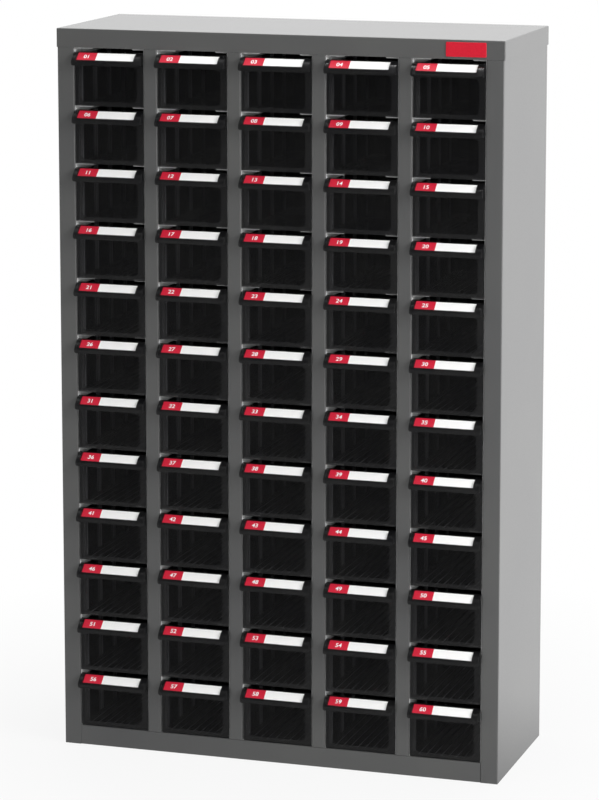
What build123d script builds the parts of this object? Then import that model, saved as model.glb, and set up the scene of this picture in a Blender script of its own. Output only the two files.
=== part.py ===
from build123d import *
import math
import os

# Parts bin cabinet: a sheet-steel case with columns of translucent bins on zinc runner racks.
# Millimetres, +Z up, front towards -Y. The origin is the centre of the footprint, handles included.

# ---------------------------------------------------------------- driving dimensions

# Case
CASE_WIDTH = 586.0  # over the cap
CASE_DEPTH = 222.0  # over the cap, without the drawer handles
CASE_HEIGHT = 937.0
SHEET = 1.0
BEND = 1.4  # outer radius of a bent corner
CAP_LIP = 24.0  # how far the cap's edges turn down
CAP_PLAY = 0.2  # slip fit of the cap over the case
POST_FACE = 22.5  # corner post, seen from the front
MULLION_FACE = 17.7  # upright between two columns
POST_RETURN = 20.0  # how deep posts and mullions fold back
REAR_FLANGE = 15.0  # side panel's flange behind the back panel
BACK_SHEET = 0.8
BACK_LIFT = 1.0  # the back panel's lower edge above the floor
RAIL_TOP = 26.0  # top of the front bottom rail
RAIL_DEPTH = 12.0  # how deep the rails fold back at the drawers
RAIL_RETURN = 10.0  # how far the bottom rail's rear edge turns down
BOTTOM_UPSTAND = 15.0  # bottom panel's flange in front of the back panel

# Drawers
COLUMNS = 5
ROWS = 12
BIN_LENGTH = 205.0
BIN_SIDE_HEIGHT = 64.0
BIN_TOP = 68.8  # top of the handle hood
BIN_WALL = 1.6
BIN_FRONT_WALL = 2.0
BIN_PLAY = 0.35  # between a bin and the rack on each side
BIN_LIFT = 0.3  # running gap over the runner
TRAVEL = 165.0  # how far a drawer slides out before its stop lugs meet the runner lip

# Handle hood
HANDLE_REACH = 13.0  # in front of the case
HOOD_TOP_DEPTH = 4.0  # behind the front plane
HOOD_BULGE = 2.6  # rise of its curved face over the straight line
LIP_TOP = 57.3
LIP_BOTTOM = 52.5
GRIP_WALL = 1.6
HOOD_CORNER = 2.5

# Label
LABEL_WIDTH = 77.0
LABEL_HEIGHT = 14.0
LABEL_SHEET = 0.3
LABEL_TILT = 50.0  # degrees back from upright
LABEL_REACH = 4.9  # its middle, in front of the case
LABEL_MIDDLE = 63.2  # its middle, over the runner
LABEL_INSET = 5.75  # from the bin's left side
LABEL_PLAY = 0.3  # round the card in its pocket
LABEL_GAP = 0.1  # under the card
LIP_SLOT = 5.0  # small moulded slot in the middle of the lip
LIP_SLOT_HEIGHT = 1.2
LIP_SLOT_DEPTH = 0.8
LIP_SLOT_DROP = 1.6  # its middle under the top of the lip

# Front window and ribs
WINDOW_INSET = 8.0
WINDOW_RECESS = 0.5
WINDOW_CORNER = 6.0
WINDOW_BOTTOM = 6.0
WINDOW_TOP = 51.0
RIB_PITCH = 50.0  # between the divider slots along a bin
RIB_START = 17.0  # first slot behind the front
RIB_COUNT = 4
RIB_WIDTH = 3.0
RIB_SLOT = 2.2
RIB_RISE = 0.8
FLOOR_RIB_COUNT = 8
FLOOR_RIB_WIDTH = 1.2
FLOOR_RIB_RISE = 0.6
LUG_LENGTH = 4.0
LUG_CLEARANCE = 0.8  # under the runner above

# Runner racks
RACK_SHEET = 0.6
RUNNER_SHEET = 0.8
RUNNER_WIDTH = 20.0
RUNNER_LIP = 2.6  # height of the runner's turned-down front end
RUNNER_LIP_CHAMFER = 1.3
RUNNER_SETBACK = 14.0  # front end of the runner behind the front plane
RUNNER_OVERRUN = 1.0  # past the back of the bin
RUNNER_RISE = 1.0  # first runner over the bottom rail
RACK_FRONT = 2.0  # rack sheet behind the front plane
RACK_FOOT = 12.0  # flange against the back panel

# Badge and rivets
BADGE_WIDTH = 51.0
BADGE_HEIGHT = 18.0
BADGE_THICKNESS = 1.2
BADGE_CORNER = 1.5
RIVET_SHANK = 1.6  # radius
RIVET_HEAD = 3.2  # radius
RIVET_HEAD_RISE = 1.0
RIVET_HEAD_CHAMFER = 0.7
RIVET_TAIL = 2.4  # radius
RIVET_TAIL_RISE = 1.2
RIVET_PLAY = 0.05  # round the shank
FLANGE_RIVETS = 6  # up each side of the back panel
RACK_RIVETS = 3  # up each rack

# ---------------------------------------------------------------- places worked out from them

FRONT = HANDLE_REACH - (CASE_DEPTH + HANDLE_REACH) / 2  # front plane of the case
REAR = FRONT + CASE_DEPTH
SIDE_X = CASE_WIDTH / 2 - SHEET - CAP_PLAY  # outer face of a side panel
BODY_REAR = REAR - SHEET - CAP_PLAY  # rear face of the side panels' flanges
BACK_FACE = BODY_REAR - SHEET  # rear face of the back panel
BACK_INNER = BACK_FACE - BACK_SHEET
CAP_UNDERSIDE = CASE_HEIGHT - SHEET
OPENING_TOP = CASE_HEIGHT - CAP_LIP - CAP_PLAY

OPENINGS_WIDTH = 2 * (SIDE_X - POST_FACE)
OPENING_WIDTH = (OPENINGS_WIDTH - (COLUMNS - 1) * MULLION_FACE) / COLUMNS
COLUMN_PITCH = OPENING_WIDTH + MULLION_FACE
COLUMN_X = [(c - (COLUMNS - 1) / 2) * COLUMN_PITCH for c in range(COLUMNS)]
MULLION_X = [x + COLUMN_PITCH / 2 for x in COLUMN_X[:-1]]

FIRST_LEVEL = RAIL_TOP + RUNNER_RISE
ROW_PITCH = (OPENING_TOP - FIRST_LEVEL) / ROWS
RUNNER_LEVELS = [FIRST_LEVEL + k * ROW_PITCH for k in range(ROWS + 1)]

BIN_WIDTH = OPENING_WIDTH - 2 * (RACK_SHEET + BIN_PLAY)
BIN_BACK = FRONT + BIN_LENGTH
RUNNER_FRONT = FRONT + RUNNER_SETBACK
RUNNER_BACK = BIN_BACK + RUNNER_OVERRUN
LUG_FRONT = RUNNER_FRONT + RUNNER_SHEET + TRAVEL + BIN_PLAY
LUG_TOP = ROW_PITCH - RUNNER_SHEET - LUG_CLEARANCE
LABEL_X = -BIN_WIDTH / 2 + LABEL_INSET + LABEL_WIDTH / 2

# plane of the label card's face, in front of a drawer that stands on level 0
TILT = math.radians(LABEL_TILT)
LABEL_PLANE = Plane(
    origin=(LABEL_X, FRONT - LABEL_REACH, LABEL_MIDDLE),
    x_dir=(1, 0, 0),
    z_dir=(0, -math.cos(TILT), math.sin(TILT)),
)

RACK_RIVET_Z = [
    RAIL_TOP + (OPENING_TOP - RAIL_TOP) * (k + 0.5) / RACK_RIVETS for k in range(RACK_RIVETS)
]
FLANGE_RIVET_Z = [
    RAIL_TOP + (OPENING_TOP - RAIL_TOP) * (k + 0.5) / FLANGE_RIVETS for k in range(FLANGE_RIVETS)
]
FLANGE_RIVET_X = SIDE_X - SHEET - REAR_FLANGE / 2
RACK_RIVET_OFFSET = RACK_SHEET + RACK_FOOT / 2  # from the edge of the opening

SIDE_PLANE = Plane(origin=(0, 0, 0), x_dir=(0, 1, 0), z_dir=(1, 0, 0))  # local x is Y, local y is Z

os.makedirs("parts", exist_ok=True)


def save(part, name):
    part.label = name
    export_step(part, "parts/" + name + ".step")


def grouped(parts):
    return Compound(children=[solid for part in parts for solid in part.solids()])


# ---------------------------------------------------------------- case


def side_panel(side):
    """Side sheet with its corner post folded in front and its flange behind; side is -1 or 1."""
    edge = side * (SIDE_X - POST_FACE)
    outer = side * SIDE_X
    turn = Side.LEFT if side > 0 else Side.RIGHT
    with BuildPart() as panel:
        with BuildSketch():
            with BuildLine():
                FilletPolyline(
                    (edge, FRONT + POST_RETURN),
                    (edge, FRONT),
                    (outer, FRONT),
                    (outer, BODY_REAR),
                    (outer - side * (SHEET + REAR_FLANGE), BODY_REAR),
                    radius=BEND,
                )
                offset(amount=SHEET, side=turn)
            make_face()
        extrude(amount=CAP_UNDERSIDE)
        # above the post the cap's lip and the top rail take its place
        with BuildSketch(Plane.XY.offset(OPENING_TOP)):
            with Locations((side * (SIDE_X - POST_FACE / 2), FRONT + POST_RETURN / 2)):
                Rectangle(POST_FACE - 2 * SHEET, 2 * POST_RETURN)
            with Locations((side * (SIDE_X - POST_FACE), FRONT + POST_RETURN / 2)):
                Rectangle(4 * SHEET, 2 * POST_RETURN)
            with Locations((side * SIDE_X, FRONT)):
                Rectangle(4 * SHEET, 2 * (BEND + CAP_PLAY))
        extrude(amount=CASE_HEIGHT, mode=Mode.SUBTRACT)
        with Locations(Plane.XZ.offset(-BODY_REAR)):
            with Locations([(side * FLANGE_RIVET_X, z) for z in FLANGE_RIVET_Z]):
                Hole(RIVET_SHANK + RIVET_PLAY, depth=2 * SHEET)
    return panel.part


def mullion(x):
    """Upright channel between two columns, open to the back."""
    half = MULLION_FACE / 2
    with BuildPart() as channel:
        with BuildSketch(Plane.XY.offset(RAIL_TOP)):
            with BuildLine():
                FilletPolyline(
                    (x - half, FRONT + POST_RETURN),
                    (x - half, FRONT),
                    (x + half, FRONT),
                    (x + half, FRONT + POST_RETURN),
                    radius=BEND,
                )
                offset(amount=SHEET, side=Side.LEFT)
            make_face()
        extrude(amount=OPENING_TOP - RAIL_TOP)
    return channel.part


def top_cap():
    """Tray that slips over the case from above."""
    middle = (FRONT + REAR) / 2
    with BuildPart() as cap:
        with BuildSketch(Plane.XY.offset(CASE_HEIGHT - CAP_LIP)):
            with Locations((0, middle)):
                RectangleRounded(CASE_WIDTH, CASE_DEPTH, BEND)
        extrude(amount=CAP_LIP)
        fillet(cap.faces().sort_by(Axis.Z)[-1].edges(), BEND)
        with BuildSketch(Plane.XY.offset(CASE_HEIGHT - CAP_LIP)):
            with Locations((0, middle)):
                RectangleRounded(
                    CASE_WIDTH - 2 * SHEET, CASE_DEPTH - 2 * SHEET, BEND - SHEET
                )
        extrude(amount=CAP_LIP - SHEET, mode=Mode.SUBTRACT)
    return cap.part


def top_rail():
    """Channel behind the cap's front lip that ties the posts together."""
    face = FRONT + SHEET + CAP_PLAY
    with BuildPart() as rail:
        with BuildSketch(SIDE_PLANE):
            with BuildLine():
                FilletPolyline(
                    (face + RAIL_DEPTH, CAP_UNDERSIDE),
                    (face, CAP_UNDERSIDE),
                    (face, OPENING_TOP),
                    (face + RAIL_DEPTH, OPENING_TOP),
                    radius=BEND,
                )
                offset(amount=SHEET, side=Side.LEFT)
            make_face()
        extrude(amount=SIDE_X - SHEET, both=True)
    return rail.part


def bottom_panel():
    """Bottom sheet that lies on the floor and folds up and back into the front rail."""
    inner = FRONT + RAIL_DEPTH
    with BuildPart() as panel:
        with BuildSketch(SIDE_PLANE):
            with BuildLine():
                FilletPolyline(
                    (BACK_INNER, BOTTOM_UPSTAND),
                    (BACK_INNER, 0),
                    (FRONT, 0),
                    (FRONT, RAIL_TOP),
                    (inner, RAIL_TOP),
                    (inner, RAIL_TOP - RAIL_RETURN),
                    radius=BEND,
                )
                offset(amount=SHEET, side=Side.RIGHT)
            make_face()
        extrude(amount=SIDE_X - SHEET, both=True)
        # front corners, cleared for the corner posts
        with BuildSketch():
            with Locations(
                (-SIDE_X + POST_FACE / 2, FRONT + POST_RETURN / 2),
                (SIDE_X - POST_FACE / 2, FRONT + POST_RETURN / 2),
            ):
                Rectangle(POST_FACE, POST_RETURN + 2 * CAP_PLAY)
        extrude(amount=RAIL_TOP, mode=Mode.SUBTRACT)
    return panel.part


def back_panel():
    """Flat sheet in front of the side panels' rear flanges."""
    width = 2 * (SIDE_X - SHEET - CAP_PLAY)
    with BuildPart() as panel:
        with BuildSketch(Plane.XZ.offset(-BACK_FACE)):
            with Locations((0, (BACK_LIFT + CAP_UNDERSIDE - CAP_PLAY) / 2)):
                Rectangle(width, CAP_UNDERSIDE - CAP_PLAY - BACK_LIFT)
            with Locations([(x, z) for x, z, _ in rivet_places()]):
                Circle(RIVET_SHANK + RIVET_PLAY, mode=Mode.SUBTRACT)
        extrude(amount=BACK_SHEET)
    return panel.part


# ---------------------------------------------------------------- racks and runners


def rack(side):
    """Zinc sheet up one side of a column at x = 0, with a foot against the back panel."""
    edge = side * OPENING_WIDTH / 2
    face = edge - side * RACK_SHEET
    with BuildPart() as body:
        with BuildSketch(Plane.XY.offset(RAIL_TOP)):
            with BuildLine():
                Polyline(
                    (edge, FRONT + RACK_FRONT),
                    (edge, BACK_INNER),
                    (face - side * RACK_FOOT, BACK_INNER),
                    (face - side * RACK_FOOT, BACK_INNER - RACK_SHEET),
                    (face, BACK_INNER - RACK_SHEET),
                    (face, FRONT + RACK_FRONT),
                    close=True,
                )
            make_face()
        extrude(amount=OPENING_TOP - RAIL_TOP)
        with Locations(Plane.XZ.offset(-BACK_INNER)):
            with Locations([(edge - side * RACK_RIVET_OFFSET, z) for z in RACK_RIVET_Z]):
                Hole(RIVET_SHANK + RIVET_PLAY, depth=2 * RACK_SHEET)
    return body.part


def runner(side):
    """Zinc runner on level 0, edge-on against its rack, with a turned-down front end."""
    face = side * (OPENING_WIDTH / 2 - RACK_SHEET)
    tip = face - side * RUNNER_WIDTH
    with BuildPart() as body:
        with BuildSketch(Plane.XZ.offset(-RUNNER_FRONT)):
            with BuildLine():
                Polyline(
                    (face, 0),
                    (tip, 0),
                    (tip, RUNNER_LIP_CHAMFER - RUNNER_LIP),
                    (tip + side * RUNNER_LIP_CHAMFER, -RUNNER_LIP),
                    (face, -RUNNER_LIP),
                    close=True,
                )
            make_face()
        extrude(amount=-RUNNER_SHEET)
        with BuildSketch():
            with Locations(((face + tip) / 2, (RUNNER_FRONT + RUNNER_BACK) / 2)):
                Rectangle(RUNNER_WIDTH, RUNNER_BACK - RUNNER_FRONT)
        extrude(amount=-RUNNER_SHEET)
    return body.part


def rack_sheets():
    return grouped([rack(side).moved(Location((x, 0, 0))) for side in (-1, 1) for x in COLUMN_X])


def runners():
    """A runner on each side of a column at each level; the top one only guides the bin below."""
    made = []
    for one in (runner(-1), runner(1)):
        made += [one.moved(Location((x, 0, z))) for x in COLUMN_X for z in RUNNER_LEVELS]
    return grouped(made)


# ---------------------------------------------------------------- rivets and badge


def rivet_places():
    """(x, z, rear face that the head lies on) of each rivet through the back panel."""
    places = []
    for side in (-1, 1):
        places += [(side * FLANGE_RIVET_X, z, BODY_REAR) for z in FLANGE_RIVET_Z]
        for x in COLUMN_X:
            hole = x + side * (OPENING_WIDTH / 2 - RACK_RIVET_OFFSET)
            places += [(hole, z, BACK_FACE) for z in RACK_RIVET_Z]
    return places


def rivet(seat, grip):
    """Blind rivet on the Y axis: domed head on the seat, shank through the grip, tail beyond."""
    with BuildPart() as body:
        with BuildSketch(Plane.XZ.offset(-seat)):
            Circle(RIVET_HEAD)
        extrude(amount=-RIVET_HEAD_RISE)
        chamfer(body.faces().sort_by(Axis.Y)[-1].edges(), RIVET_HEAD_CHAMFER)
        with BuildSketch(Plane.XZ.offset(-seat)):
            Circle(RIVET_SHANK)
        extrude(amount=grip)
        with BuildSketch(Plane.XZ.offset(grip - seat)):
            Circle(RIVET_TAIL)
        extrude(amount=RIVET_TAIL_RISE)
    return body.part


def rivets():
    flange_rivet = rivet(BODY_REAR, BODY_REAR - BACK_INNER)
    rack_rivet = rivet(BACK_FACE, BACK_FACE - BACK_INNER + RACK_SHEET)
    made = []
    for x, z, seat in rivet_places():
        one = flange_rivet if seat == BODY_REAR else rack_rivet
        made.append(one.moved(Location((x, 0, z))))
    return grouped(made)


def badge():
    """Plain plate on the cap's front lip, in line with the last opening's edge."""
    right = OPENINGS_WIDTH / 2
    with BuildPart() as plate:
        with BuildSketch(Plane.XZ.offset(-FRONT)):
            with Locations((right - BADGE_WIDTH / 2, CASE_HEIGHT - CAP_LIP / 2)):
                RectangleRounded(BADGE_WIDTH, BADGE_HEIGHT, BADGE_CORNER)
        extrude(amount=BADGE_THICKNESS)
        fillet(plate.faces().sort_by(Axis.Y)[0].edges(), BADGE_THICKNESS / 3)
    return plate.part


# ---------------------------------------------------------------- drawers


def bin_body():
    """Bin with its hooded handle, standing on level 0 in the middle column."""
    half = BIN_WIDTH / 2
    inner_width = BIN_WIDTH - 2 * BIN_WALL
    floor_top = BIN_LIFT + BIN_WALL
    label_line = LABEL_PLANE.offset(-LABEL_SHEET - LABEL_GAP - GRIP_WALL)
    slope = math.tan(TILT)

    def grip_height(reach):
        """Height of the hood's underside at this reach in front of the case."""
        return label_line.origin.Z - (reach + label_line.origin.Y - FRONT) / slope

    with BuildPart() as body:
        # open box
        with BuildSketch(Plane.XY.offset(BIN_LIFT)):
            with Locations((0, (FRONT + BIN_BACK) / 2)):
                Rectangle(BIN_WIDTH, BIN_LENGTH)
        extrude(amount=BIN_SIDE_HEIGHT - BIN_LIFT)
        with BuildSketch(Plane.XY.offset(floor_top)):
            with Locations((0, (FRONT + BIN_FRONT_WALL + BIN_BACK - BIN_WALL) / 2)):
                Rectangle(inner_width, BIN_LENGTH - BIN_FRONT_WALL - BIN_WALL)
        extrude(amount=BIN_SIDE_HEIGHT, mode=Mode.SUBTRACT)

        # front wall, up to the hood
        with BuildSketch(Plane.XZ.offset(-FRONT)):
            with Locations((0, (BIN_LIFT + LIP_TOP) / 2)):
                Rectangle(BIN_WIDTH, LIP_TOP - BIN_LIFT)
        extrude(amount=-BIN_FRONT_WALL)

        # handle hood: a curved wall across the front, closed by a cheek at each end
        with BuildSketch(SIDE_PLANE):
            with BuildLine():
                top = (FRONT + HOOD_TOP_DEPTH, BIN_TOP)
                lip = (FRONT - HANDLE_REACH, LIP_TOP)
                SagittaArc(top, lip, -HOOD_BULGE)
                Polyline(
                    lip,
                    (FRONT - HANDLE_REACH, LIP_BOTTOM),
                    (FRONT - HANDLE_REACH + GRIP_WALL, LIP_BOTTOM),
                    (FRONT - HANDLE_REACH + GRIP_WALL, grip_height(HANDLE_REACH - GRIP_WALL)),
                    (FRONT, grip_height(0)),
                    (FRONT, LIP_BOTTOM),
                    (FRONT + BIN_FRONT_WALL, LIP_BOTTOM),
                    (FRONT + BIN_FRONT_WALL, BIN_TOP - BIN_WALL),
                    (FRONT + HOOD_TOP_DEPTH, BIN_TOP - BIN_WALL),
                    top,
                )
            make_face()
        extrude(amount=half, both=True)
        for side in (-1, 1):
            with BuildSketch(SIDE_PLANE.offset(side * half)):
                with BuildLine():
                    Polyline(
                        (FRONT - HANDLE_REACH + GRIP_WALL, LIP_BOTTOM),
                        (
                            FRONT - HANDLE_REACH + GRIP_WALL,
                            grip_height(HANDLE_REACH - GRIP_WALL),
                        ),
                        (FRONT, grip_height(0)),
                        (FRONT, LIP_BOTTOM),
                        close=True,
                    )
                make_face()
            extrude(amount=-side * GRIP_WALL)

        # rounded lower corners of the hood, seen from the front
        with BuildSketch(Plane.XZ.offset(-FRONT)):
            with Locations((0, LIP_BOTTOM + HOOD_CORNER / 2)):
                Rectangle(BIN_WIDTH, HOOD_CORNER)
            with Locations(
                (-half + HOOD_CORNER, LIP_BOTTOM + HOOD_CORNER),
                (half - HOOD_CORNER, LIP_BOTTOM + HOOD_CORNER),
            ):
                Circle(HOOD_CORNER, mode=Mode.SUBTRACT)
            with Locations((0, LIP_BOTTOM + HOOD_CORNER / 2)):
                Rectangle(BIN_WIDTH - 2 * HOOD_CORNER, HOOD_CORNER, mode=Mode.SUBTRACT)
        extrude(amount=HANDLE_REACH, mode=Mode.SUBTRACT)

        # pocket for the label card
        with BuildSketch(LABEL_PLANE.offset(-LABEL_SHEET - LABEL_GAP)):
            Rectangle(LABEL_WIDTH + 2 * LABEL_PLAY, LABEL_HEIGHT + 2 * LABEL_PLAY)
        extrude(amount=HANDLE_REACH, mode=Mode.SUBTRACT)

        # small slot in the lip
        with BuildSketch(Plane.XZ.offset(HANDLE_REACH - FRONT)):
            with Locations((0, LIP_TOP - LIP_SLOT_DROP)):
                Rectangle(LIP_SLOT, LIP_SLOT_HEIGHT)
        extrude(amount=-LIP_SLOT_DEPTH, mode=Mode.SUBTRACT)

        # shallow window in the front
        with BuildSketch(Plane.XZ.offset(-FRONT)) as window:
            with Locations((0, (WINDOW_BOTTOM + WINDOW_TOP) / 2)):
                Rectangle(BIN_WIDTH - 2 * WINDOW_INSET, WINDOW_TOP - WINDOW_BOTTOM)
            fillet(window.vertices().group_by(Axis.Z)[0], WINDOW_CORNER)
        extrude(amount=-WINDOW_RECESS, mode=Mode.SUBTRACT)

        # pairs of ribs that hold a divider
        spacing = (RIB_WIDTH + RIB_SLOT) / 2
        stations = [FRONT + RIB_START + k * RIB_PITCH for k in range(RIB_COUNT)]
        with BuildSketch(Plane.XY.offset(floor_top)):
            for side in (-1, 1):
                for y in stations:
                    with Locations(
                        (side * (inner_width - RIB_RISE) / 2, y - spacing),
                        (side * (inner_width - RIB_RISE) / 2, y + spacing),
                    ):
                        Rectangle(RIB_RISE, RIB_WIDTH)
        extrude(amount=BIN_SIDE_HEIGHT - floor_top)

        # lengthwise ribs on the floor
        rib_pitch = inner_width / (FLOOR_RIB_COUNT + 1)
        with BuildSketch(Plane.XY.offset(floor_top)):
            with Locations((0, (FRONT + BIN_FRONT_WALL + BIN_BACK - BIN_WALL) / 2)):
                with GridLocations(rib_pitch, 1, FLOOR_RIB_COUNT, 1):
                    Rectangle(FLOOR_RIB_WIDTH, BIN_LENGTH - BIN_FRONT_WALL - BIN_WALL)
        extrude(amount=FLOOR_RIB_RISE)

        # stop lugs, which meet the lip of the runner above when the drawer is fully out
        with BuildSketch(Plane.XY.offset(BIN_SIDE_HEIGHT)):
            with Locations(
                (-half + BIN_WALL / 2, LUG_FRONT + LUG_LENGTH / 2),
                (half - BIN_WALL / 2, LUG_FRONT + LUG_LENGTH / 2),
            ):
                Rectangle(BIN_WALL, LUG_LENGTH)
        extrude(amount=LUG_TOP - BIN_SIDE_HEIGHT)
    return body.part


def label_card():
    """Label card in its pocket on the hood."""
    with BuildPart() as card:
        with BuildSketch(LABEL_PLANE):
            Rectangle(LABEL_WIDTH, LABEL_HEIGHT)
        extrude(amount=-LABEL_SHEET)
    return card.part


# ---------------------------------------------------------------- assembly

save(top_cap(), "top_cap")
save(side_panel(-1), "left_side_panel")
save(side_panel(1), "right_side_panel")
save(back_panel(), "back_panel")
save(bottom_panel(), "bottom_panel")
save(top_rail(), "top_rail")
save(grouped([mullion(x) for x in MULLION_X]), "mullions")
save(rack_sheets(), "rack_sheets")
save(runners(), "runners")
save(badge(), "badge_plate")
save(rivets(), "rivets")

BIN = bin_body()
CARD = label_card()


def drawer(column, row):
    """Bin and label card of one drawer; row 0 is the top one."""
    place = Location((COLUMN_X[column], 0, RUNNER_LEVELS[ROWS - 1 - row]))
    return [BIN.moved(place), CARD.moved(place)]


for column in range(COLUMNS - 1):
    for row in range(ROWS):
        save(grouped(drawer(column, row)), f"drawer_c{column + 1}_r{row + 1:02d}")

last_column = [piece for row in range(ROWS) for piece in drawer(COLUMNS - 1, row)]
save(grouped(last_column), f"drawers_c{COLUMNS}")
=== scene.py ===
import math

import bmesh
import bpy
from mathutils import Matrix, Vector


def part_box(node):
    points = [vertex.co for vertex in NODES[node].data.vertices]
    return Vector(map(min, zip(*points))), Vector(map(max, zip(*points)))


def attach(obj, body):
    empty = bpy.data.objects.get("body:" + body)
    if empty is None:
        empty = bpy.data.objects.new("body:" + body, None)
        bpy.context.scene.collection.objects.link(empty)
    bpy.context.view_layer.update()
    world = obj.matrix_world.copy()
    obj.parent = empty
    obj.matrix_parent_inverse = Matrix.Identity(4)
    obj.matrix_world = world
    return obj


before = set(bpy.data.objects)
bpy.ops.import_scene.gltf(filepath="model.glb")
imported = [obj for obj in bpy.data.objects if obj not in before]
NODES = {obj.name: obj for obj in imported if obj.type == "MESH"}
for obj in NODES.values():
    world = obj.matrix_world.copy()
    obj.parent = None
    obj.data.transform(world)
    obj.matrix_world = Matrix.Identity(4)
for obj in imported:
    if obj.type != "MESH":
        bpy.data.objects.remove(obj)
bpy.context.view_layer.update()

# Dresses the parts bin cabinet: finishes for its steel, zinc and smoked bins, painted highlights
# on the bins' ribs, printed label cards with plain drawer numbers, a pale studio and the
# photograph's camera. Metres throughout.

MM = 0.001

# ---------------------------------------------------------------- sizes shared with the solids

ROWS = 12
COLUMNS = 5
HANDLE_REACH = 13.0 * MM
BIN_LIFT = 0.3 * MM
BIN_WIDTH = 91.66 * MM
BIN_WALL = 1.6 * MM
BIN_FRONT_WALL = 2.0 * MM
BIN_ROOM = 73.0 * MM  # height in which one bin stands
WINDOW_RECESS = 0.5 * MM
RIB_RISE = 0.8 * MM
RIB_PITCH = 50.0 * MM
RIB_FIRST = -87.5 * MM
FLOOR_RIB_RISE = 0.6 * MM
LABEL_WIDTH = 77.0 * MM
LABEL_HEIGHT = 14.0 * MM
LABEL_SHEET = 0.3 * MM
LABEL_TILT = math.radians(50.0)
LABEL_REACH = 4.9 * MM
LABEL_MIDDLE = 63.2 * MM
LABEL_INSET = 5.75 * MM

# how closely the faces of the solids are found by these sizes
SLACK = 0.03 * MM
SQUARE_ON = 0.99

# printed part of a label card
TAB_WIDTH = 25.5 * MM
TAB_LIFT = 0.01 * MM
TAB_SHEET = 0.06 * MM
DIGIT_HEIGHT = 8.5 * MM
DIGIT_WEIGHT = 0.15 * MM
DIGIT_SHEET = 0.04 * MM

# ---------------------------------------------------------------- node helpers


def new_material(name):
    mat = bpy.data.materials.new(name)
    mat.use_nodes = True
    return mat, mat.node_tree.nodes, mat.node_tree.links


def principled(nodes):
    return next(n for n in nodes if n.type == "BSDF_PRINCIPLED")


def coordinates(nodes, links, scale=(1, 1, 1)):
    """Object coordinates, stretched by scale."""
    source = nodes.new("ShaderNodeTexCoord")
    mapping = nodes.new("ShaderNodeMapping")
    mapping.inputs["Scale"].default_value = scale
    links.new(source.outputs["Object"], mapping.inputs["Vector"])
    return mapping.outputs["Vector"]


def y_of(nodes, links, vector):
    split = nodes.new("ShaderNodeSeparateXYZ")
    links.new(vector, split.inputs[0])
    return split.outputs["Y"]


def math_node(nodes, links, operation, first, second):
    """Result of an operation on a socket and a second socket or number."""
    node = nodes.new("ShaderNodeMath")
    node.operation = operation
    links.new(first, node.inputs[0])
    if isinstance(second, float):
        node.inputs[1].default_value = second
    else:
        links.new(second, node.inputs[1])
    return node.outputs[0]


def noise(nodes, links, vector, scale, detail=3.0):
    node = nodes.new("ShaderNodeTexNoise")
    node.inputs["Scale"].default_value = scale
    node.inputs["Detail"].default_value = detail
    links.new(vector, node.inputs["Vector"])
    return node.outputs["Fac"]


def ramp(nodes, links, factor, stops):
    """Colour ramp through stops of (position, colour)."""
    node = nodes.new("ShaderNodeValToRGB")
    elements = node.color_ramp.elements
    while len(elements) < len(stops):
        elements.new(0.5)
    for element, (position, colour) in zip(elements, stops):
        element.position = position
        element.color = (*colour, 1)
    links.new(factor, node.inputs["Fac"])
    return node.outputs["Color"]


def map_range(nodes, links, value, from_low, from_high, to_low=0.0, to_high=1.0):
    node = nodes.new("ShaderNodeMapRange")
    node.inputs["From Min"].default_value = from_low
    node.inputs["From Max"].default_value = from_high
    node.inputs["To Min"].default_value = to_low
    node.inputs["To Max"].default_value = to_high
    links.new(value, node.inputs["Value"])
    return node.outputs["Result"]


def span(nodes, links, factor, low, high):
    """Factor from 0..1 stretched over low..high."""
    return map_range(nodes, links, factor, 0.0, 1.0, low, high)


def bump(nodes, links, height, strength, distance):
    node = nodes.new("ShaderNodeBump")
    node.inputs["Strength"].default_value = strength
    node.inputs["Distance"].default_value = distance
    links.new(height, node.inputs["Height"])
    return node.outputs["Normal"]


# ---------------------------------------------------------------- materials


def case_paint():
    """Dark grey baked enamel: slow tone drift, fine orange peel, a clear gloss on top."""
    mat, nodes, links = new_material("case_paint")
    shader = principled(nodes)
    place = coordinates(nodes, links)
    drift = noise(nodes, links, place, 6.0, detail=2.0)
    grain = noise(nodes, links, place, 900.0, detail=2.0)
    peel = noise(nodes, links, place, 420.0, detail=1.0)
    links.new(
        ramp(nodes, links, drift, [(0.3, (0.079, 0.080, 0.081)), (0.7, (0.091, 0.092, 0.090))]),
        shader.inputs["Base Color"],
    )
    links.new(span(nodes, links, grain, 0.36, 0.48), shader.inputs["Roughness"])
    links.new(bump(nodes, links, peel, 0.12, 0.0002), shader.inputs["Normal"])
    shader.inputs["IOR"].default_value = 1.5
    shader.inputs["Coat Weight"].default_value = 0.9
    shader.inputs["Coat Roughness"].default_value = 0.22
    return mat


def zinc():
    """Bright zinc plate with a drawn grain along the runners."""
    mat, nodes, links = new_material("zinc")
    shader = principled(nodes)
    grain = noise(nodes, links, coordinates(nodes, links, (1, 0.04, 1)), 1500.0, detail=2.0)
    cloud = noise(nodes, links, coordinates(nodes, links), 60.0)
    links.new(
        ramp(nodes, links, cloud, [(0.3, (0.84, 0.85, 0.85)), (0.7, (0.93, 0.93, 0.92))]),
        shader.inputs["Base Color"],
    )
    links.new(span(nodes, links, grain, 0.22, 0.42), shader.inputs["Roughness"])
    links.new(bump(nodes, links, grain, 0.1, 0.0001), shader.inputs["Normal"])
    shader.inputs["Metallic"].default_value = 0.15
    return mat


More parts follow.
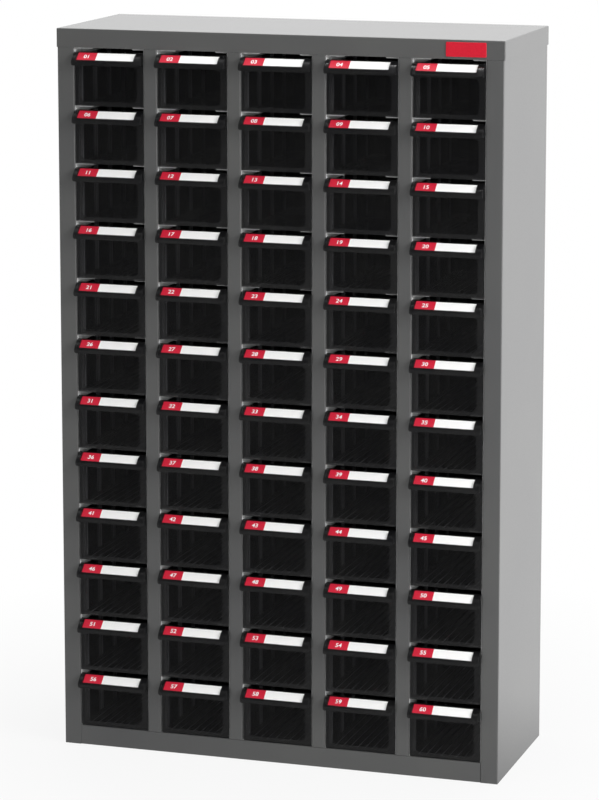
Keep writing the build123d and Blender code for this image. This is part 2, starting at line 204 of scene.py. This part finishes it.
def smoked(name, dark, light, alpha, highlight_banded=False):
    """Smoked see-through polystyrene with a moulded gloss, its paler tone drifting softly or, in
    the copy made in bands, lying as painted highlights beside the pairs of ribs along a bin's
    walls."""
    mat, nodes, links = new_material(name)
    shader = principled(nodes)
    place = coordinates(nodes, links)
    flow = noise(nodes, links, place, 25.0, detail=2.0)
    fine = noise(nodes, links, place, 700.0, detail=1.0)
    tone = rib_highlight_bands(nodes, links, place) if highlight_banded else flow
    links.new(ramp(nodes, links, tone, [(0.3, dark), (0.7, light)]), shader.inputs["Base Color"])
    links.new(span(nodes, links, fine, 0.12, 0.22), shader.inputs["Roughness"])
    links.new(bump(nodes, links, flow, 0.08, 0.0006), shader.inputs["Normal"])
    shader.inputs["IOR"].default_value = 1.5
    shader.inputs["Alpha"].default_value = alpha
    return mat


def rib_highlight_bands(nodes, links, place):
    """1 at a pair of ribs, falling to 0 on both sides of it, along the bin: the mask of the
    painted highlight bands.
    """
    from_first = math_node(nodes, links, "SUBTRACT", y_of(nodes, links, place), RIB_FIRST)
    from_pair = math_node(nodes, links, "PINGPONG", from_first, RIB_PITCH / 2)
    return map_range(nodes, links, from_pair, RIB_PITCH / 3, 0.0)


def card():
    """White label card with a faint paper fibre."""
    mat, nodes, links = new_material("label_card")
    shader = principled(nodes)
    fibre = noise(nodes, links, coordinates(nodes, links, (1, 3, 3)), 800.0)
    links.new(
        ramp(nodes, links, fibre, [(0.3, (0.87, 0.87, 0.86)), (0.7, (0.93, 0.93, 0.92))]),
        shader.inputs["Base Color"],
    )
    links.new(span(nodes, links, fibre, 0.5, 0.65), shader.inputs["Roughness"])
    links.new(bump(nodes, links, fibre, 0.1, 0.00005), shader.inputs["Normal"])
    return mat


def ink(name, dark, light, low, high):
    """Printed or enamelled colour with a slight mottle, and roughness from low to high."""
    mat, nodes, links = new_material(name)
    shader = principled(nodes)
    mottle = noise(nodes, links, coordinates(nodes, links), 500.0)
    links.new(
        ramp(nodes, links, mottle, [(0.3, dark), (0.7, light)]), shader.inputs["Base Color"]
    )
    links.new(span(nodes, links, mottle, low, high), shader.inputs["Roughness"])
    links.new(bump(nodes, links, mottle, 0.05, 0.00005), shader.inputs["Normal"])
    return mat


def rivet_aluminium():
    mat, nodes, links = new_material("rivet_aluminium")
    shader = principled(nodes)
    mottle = noise(nodes, links, coordinates(nodes, links), 900.0)
    links.new(
        ramp(nodes, links, mottle, [(0.3, (0.55, 0.55, 0.56)), (0.7, (0.68, 0.68, 0.68))]),
        shader.inputs["Base Color"],
    )
    links.new(span(nodes, links, mottle, 0.3, 0.45), shader.inputs["Roughness"])
    shader.inputs["Metallic"].default_value = 1.0
    return mat


PAINT = case_paint()
ZINC = zinc()
SMOKE_TONES = ((0.006, 0.006, 0.007), (0.011, 0.011, 0.011))
SMOKE = smoked("smoked_plastic", *SMOKE_TONES, 0.72)
WINDOW = smoked("smoked_window", *SMOKE_TONES, 0.22)
# painted highlight: a pale copy of the smoked plastic for the rib crests, as if they caught the
# light
CREST_HIGHLIGHT = smoked("smoked_crest_painted_highlight", (0.22, 0.22, 0.23), (0.30, 0.30, 0.31), 0.9)
# painted highlights: pale bands beside the rib pairs on a bin's inner walls, standing in for the
# light on the ribs
HIGHLIGHT_BANDS = smoked("smoked_painted_highlight_bands", (0.003, 0.003, 0.004), (0.20, 0.20, 0.215), 0.85, highlight_banded=True)
CARD = card()
TAB_RED = ink("label_red", (0.54, 0.003, 0.026), (0.62, 0.005, 0.034), 0.45, 0.55)
BADGE_RED = ink("badge_red", (0.56, 0.006, 0.024), (0.64, 0.009, 0.030), 0.2, 0.28)
DIGIT_WHITE = ink("digit_white", (0.85, 0.85, 0.84), (0.92, 0.92, 0.91), 0.4, 0.5)
RIVET = rivet_aluminium()

# materials of a drawer's mesh, each under its index
DRAWER_MATERIALS = (SMOKE, CARD, CREST_HIGHLIGHT, HIGHLIGHT_BANDS, WINDOW)
CARD_INDEX, CREST_HIGHLIGHT_INDEX, HIGHLIGHT_BANDS_INDEX, WINDOW_INDEX = range(1, len(DRAWER_MATERIALS))

# ---------------------------------------------------------------- finishes of the solids


def finish(node, *materials):
    """The node's own mesh takes these materials, and its faces the first."""
    mesh = NODES[node].data
    mesh.materials.clear()
    for mat in materials:
        mesh.materials.append(mat)


PAINTED = (
    "top_cap", "left_side_panel", "right_side_panel", "back_panel", "bottom_panel",
    "top_rail", "mullions",
)
for node in PAINTED:
    finish(node, PAINT)
finish("rack_sheets", ZINC)
finish("runners", ZINC)
finish("badge_plate", BADGE_RED)
finish("rivets", RIVET)

# ---------------------------------------------------------------- drawers


class Drawer:
    """Where one drawer stands, from its solid: column and row count from 0 at the top left."""

    def __init__(self, column, row):
        self.column = column
        self.row = row
        single = min(column, COLUMNS - 2)  # the last column is one node, so its neighbour serves
        self.node = f"drawer_c{single + 1}_r{row + 1:02d}"
        low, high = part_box(self.node)
        self.level = low.z - BIN_LIFT
        self.front = low.y + HANDLE_REACH
        if column > single:
            self.node = f"drawers_c{COLUMNS}"
            low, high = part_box(self.node)
        self.x = (low.x + high.x) / 2
        self.number = row * COLUMNS + column + 1

    def label_matrix(self):
        """Label face: x along the card, y up its slope, z out of it, origin in the middle."""
        x_axis = Vector((1, 0, 0))
        z_axis = Vector((0, -math.cos(LABEL_TILT), math.sin(LABEL_TILT)))
        y_axis = z_axis.cross(x_axis)
        middle = Vector((
            self.x - BIN_WIDTH / 2 + LABEL_INSET + LABEL_WIDTH / 2,
            self.front - LABEL_REACH,
            self.level + LABEL_MIDDLE,
        ))
        return Matrix.Translation(middle) @ Matrix((x_axis, y_axis, z_axis)).transposed().to_4x4()


DRAWERS = [Drawer(column, row) for column in range(COLUMNS) for row in range(ROWS)]


def mark_card(mesh, label_matrix):
    """The faces of one card solid take the card's material."""
    inverse = label_matrix.inverted()
    on_card = set()
    for v in mesh.vertices:
        p = inverse @ v.co
        if (
            abs(p.x) < LABEL_WIDTH / 2 + SLACK
            and abs(p.y) < LABEL_HEIGHT / 2 + SLACK
            and -LABEL_SHEET - SLACK < p.z < SLACK
        ):
            on_card.add(v.index)
    for face in mesh.polygons:
        if all(i in on_card for i in face.vertices):
            face.material_index = CARD_INDEX


def on_window(face, drawer):
    """Whether the face is the front or the back of the drawer's window."""
    depth = face.center.y - drawer.front
    return (
        abs(face.normal.y) > SQUARE_ON
        and abs(face.center.x - drawer.x) < BIN_WIDTH / 2
        and 0 < face.center.z - drawer.level < LABEL_MIDDLE
        and min(abs(depth - WINDOW_RECESS), abs(depth - BIN_FRONT_WALL)) < SLACK
    )


def mark_bin(mesh, drawer):
    """One bin's rib crests take a painted highlight, a pale copy of the smoked plastic; its inner
    walls take painted highlights in bands beside the rib pairs, and its window its own material.
    """
    wall = BIN_WIDTH / 2 - BIN_WALL
    floor = drawer.level + BIN_LIFT + BIN_WALL + FLOOR_RIB_RISE
    wall_crest, floor_crest, inner_wall = set(), set(), set()
    for v in mesh.vertices:
        across = abs(v.co.x - drawer.x)
        if across > BIN_WIDTH / 2 or not 0 < v.co.z - drawer.level < BIN_ROOM:
            continue
        if abs(across - wall + RIB_RISE) < SLACK:
            wall_crest.add(v.index)
        if abs(across - wall) < SLACK:
            inner_wall.add(v.index)
        if abs(v.co.z - floor) < SLACK:
            floor_crest.add(v.index)
    for face in mesh.polygons:
        # the rib crests take the painted highlight, the inner walls the painted highlight bands
        if any(all(i in crest for i in face.vertices) for crest in (wall_crest, floor_crest)):
            face.material_index = CREST_HIGHLIGHT_INDEX
        elif all(i in inner_wall for i in face.vertices):
            face.material_index = HIGHLIGHT_BANDS_INDEX
        elif on_window(face, drawer):
            face.material_index = WINDOW_INDEX


def dress_drawers():
    for node in dict.fromkeys(drawer.node for drawer in DRAWERS):
        finish(node, *DRAWER_MATERIALS)
    for drawer in DRAWERS:
        mesh = NODES[drawer.node].data
        mark_card(mesh, drawer.label_matrix())
        mark_bin(mesh, drawer)


def slab(bm, x0, x1, y0, y1, z0, z1):
    """Closed box in bm."""
    corners = [bm.verts.new((x, y, z)) for z in (z0, z1) for y in (y0, y1) for x in (x0, x1)]
    faces = [(0, 2, 3, 1), (4, 5, 7, 6), (0, 1, 5, 4), (2, 6, 7, 3), (0, 4, 6, 2), (1, 3, 7, 5)]
    for face in faces:
        bm.faces.new([corners[i] for i in face])


def digits_mesh(text):
    """Solid numerals, centred on the origin in the XY plane."""
    curve = bpy.data.curves.new("digits", "FONT")
    curve.body = text
    curve.size = DIGIT_HEIGHT
    curve.align_x = "CENTER"
    curve.align_y = "CENTER"
    curve.extrude = DIGIT_SHEET / 2
    curve.offset = DIGIT_WEIGHT
    curve.resolution_u = 4
    holder = bpy.data.objects.new("digits", curve)
    bpy.context.scene.collection.objects.link(holder)
    graph = bpy.context.evaluated_depsgraph_get()
    mesh = bpy.data.meshes.new_from_object(holder.evaluated_get(graph))
    bpy.data.objects.remove(holder)
    bpy.data.curves.remove(curve)
    return mesh


def label_print(drawer):
    """Red printed end of a label card, with the drawer's plain number."""
    bm = bmesh.new()
    left = -LABEL_WIDTH / 2
    half = LABEL_HEIGHT / 2
    slab(bm, left, left + TAB_WIDTH, -half, half, TAB_LIFT, TAB_SHEET)
    digits = digits_mesh(f"{drawer.number:02d}")
    middle = Vector((left + TAB_WIDTH / 2, 0, TAB_SHEET + DIGIT_SHEET / 2))
    digits.transform(Matrix.Translation(middle))
    first = len(bm.faces)
    bm.from_mesh(digits)
    bm.faces.ensure_lookup_table()
    for face in bm.faces[first:]:
        face.material_index = 1
    bm.transform(drawer.label_matrix())
    mesh = bpy.data.meshes.new("label_print")
    bm.to_mesh(mesh)
    bm.free()
    bpy.data.meshes.remove(digits)
    mesh.materials.append(TAB_RED)
    mesh.materials.append(DIGIT_WHITE)
    name = f"label_print_c{drawer.column + 1}_r{drawer.row + 1:02d}"
    obj = bpy.data.objects.new(name, mesh)
    bpy.context.scene.collection.objects.link(obj)
    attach(obj, drawer.node)


dress_drawers()
for drawer in DRAWERS:
    label_print(drawer)

# ---------------------------------------------------------------- studio

FLOOR_SIZE = 14.0
FLOOR_CLEAR = 0.9  # from here outward the floor is the plain white background
FLOOR_SHADED = FLOOR_CLEAR / 3  # up to here from the middle it keeps its full shadow
FLOOR_PALE = 0.88  # share of white close to the cabinet, the rest being shaded floor
DIM_FLOOR = 0.4  # the floor in front of the cabinet, as reflections show it
DIM_FLOOR_END = (-0.15, 0.3)  # along y, where it turns white
DIM_ROOM = 0.1  # the room in front of the cabinet, as reflections show it
DIM_ROOM_END = (-0.4, 0.1)  # along y of the direction, where it turns white
WORLD_FILL = 0.62


def seen_directly(nodes, links):
    """1 for camera rays and rays through glass."""
    path = nodes.new("ShaderNodeLightPath").outputs
    return math_node(
        nodes, links, "MAXIMUM", path["Is Camera Ray"], path["Is Transmission Ray"]
    )


def is_glossy(nodes):
    return nodes.new("ShaderNodeLightPath").outputs["Is Glossy Ray"]


def background_strength(nodes, links, light, reflected):
    """1 for camera and glass rays, reflected for glossy ones and light for the rest."""
    glossy = map_range(nodes, links, is_glossy(nodes), 0.0, 1.0, light)
    links.new(reflected, glossy.node.inputs["To Max"])
    direct = map_range(nodes, links, seen_directly(nodes, links), 0.0, 1.0)
    links.new(glossy, direct.node.inputs["To Min"])
    return direct


def studio_floor():
    """Pale floor that keeps the cabinet's shadow near it and turns plain white further out."""
    mesh = bpy.data.meshes.new("studio_floor")
    half = FLOOR_SIZE / 2
    corners = [(-half, -half, 0), (half, -half, 0), (half, half, 0), (-half, half, 0)]
    mesh.from_pydata(corners, [], [(0, 1, 2, 3)])
    floor = bpy.data.objects.new("studio_floor", mesh)
    bpy.context.scene.collection.objects.link(floor)
    mat, nodes, links = new_material("studio_floor")
    shader = principled(nodes)
    shader.inputs["Base Color"].default_value = (0.5, 0.5, 0.5, 1)
    shader.inputs["Roughness"].default_value = 0.9
    place = coordinates(nodes, links)
    distance = nodes.new("ShaderNodeVectorMath")
    distance.operation = "LENGTH"
    links.new(place, distance.inputs[0])
    fade = map_range(
        nodes, links, distance.outputs["Value"], FLOOR_SHADED, FLOOR_CLEAR, FLOOR_PALE
    )
    seen = math_node(
        nodes, links, "MAXIMUM", seen_directly(nodes, links), is_glossy(nodes)
    )
    amount = math_node(nodes, links, "MULTIPLY", fade, seen)
    reflected = map_range(nodes, links, y_of(nodes, links, place), *DIM_FLOOR_END, DIM_FLOOR)
    white = nodes.new("ShaderNodeEmission")
    links.new(background_strength(nodes, links, 0.0, reflected), white.inputs["Strength"])
    mix = nodes.new("ShaderNodeMixShader")
    links.new(amount, mix.inputs[0])
    links.new(shader.outputs[0], mix.inputs[1])
    links.new(white.outputs[0], mix.inputs[2])
    output = next(n for n in nodes if n.type == "OUTPUT_MATERIAL")
    links.new(mix.outputs[0], output.inputs["Surface"])
    mesh.materials.append(mat)


def studio_world(light):
    """White to the camera, in glass and in reflections from the back, the sides and above; the
    dim end of the room is in front of the cabinet. The rest is an even fill of this strength."""
    world = bpy.data.worlds.new("studio")
    bpy.context.scene.world = world
    world.use_nodes = True
    nodes, links = world.node_tree.nodes, world.node_tree.links
    background = next(n for n in nodes if n.type == "BACKGROUND")
    background.inputs["Color"].default_value = (1, 1, 1, 1)
    direction = nodes.new("ShaderNodeTexCoord").outputs["Generated"]
    reflected = map_range(nodes, links, y_of(nodes, links, direction), *DIM_ROOM_END, DIM_ROOM)
    links.new(
        background_strength(nodes, links, light, reflected), background.inputs["Strength"]
    )


def lamp(name, place, target, size, watts):
    """Area lamp at place, turned to target."""
    data = bpy.data.lights.new(name, "AREA")
    data.shape = "RECTANGLE"
    data.size, data.size_y = size
    data.energy = watts
    obj = bpy.data.objects.new(name, data)
    obj.location = place
    obj.rotation_euler = (Vector(target) - Vector(place)).to_track_quat("-Z", "Y").to_euler()
    bpy.context.scene.collection.objects.link(obj)


def camera():
    """The photograph's camera, solved from the cabinet's corners."""
    data = bpy.data.cameras.new("photo_camera")
    data.sensor_width = 36.0
    data.lens = 151.53
    data.shift_y = -0.15
    data.clip_end = 100.0
    obj = bpy.data.objects.new("photo_camera", data)
    obj.location = (1.3052, -4.0608, 1.3151)
    obj.rotation_euler = [math.radians(a) for a in (80.641, 0.010, 17.858)]
    bpy.context.scene.collection.objects.link(obj)
    bpy.context.scene.camera = obj


studio_floor()
studio_world(WORLD_FILL)
lamp("key", (2.6, -0.9, 1.9), (0.2, 0, 0.6), (1.6, 1.6), 80)
lamp("top", (0.3, 0.2, 3.0), (0, 0, 0.6), (1.6, 1.6), 36)
lamp("front", (1.9, -2.4, 0.35), (0.3, 0, 0.35), (1.5, 1.5), 22)
camera()

bpy.context.scene.view_settings.view_transform = "Standard"
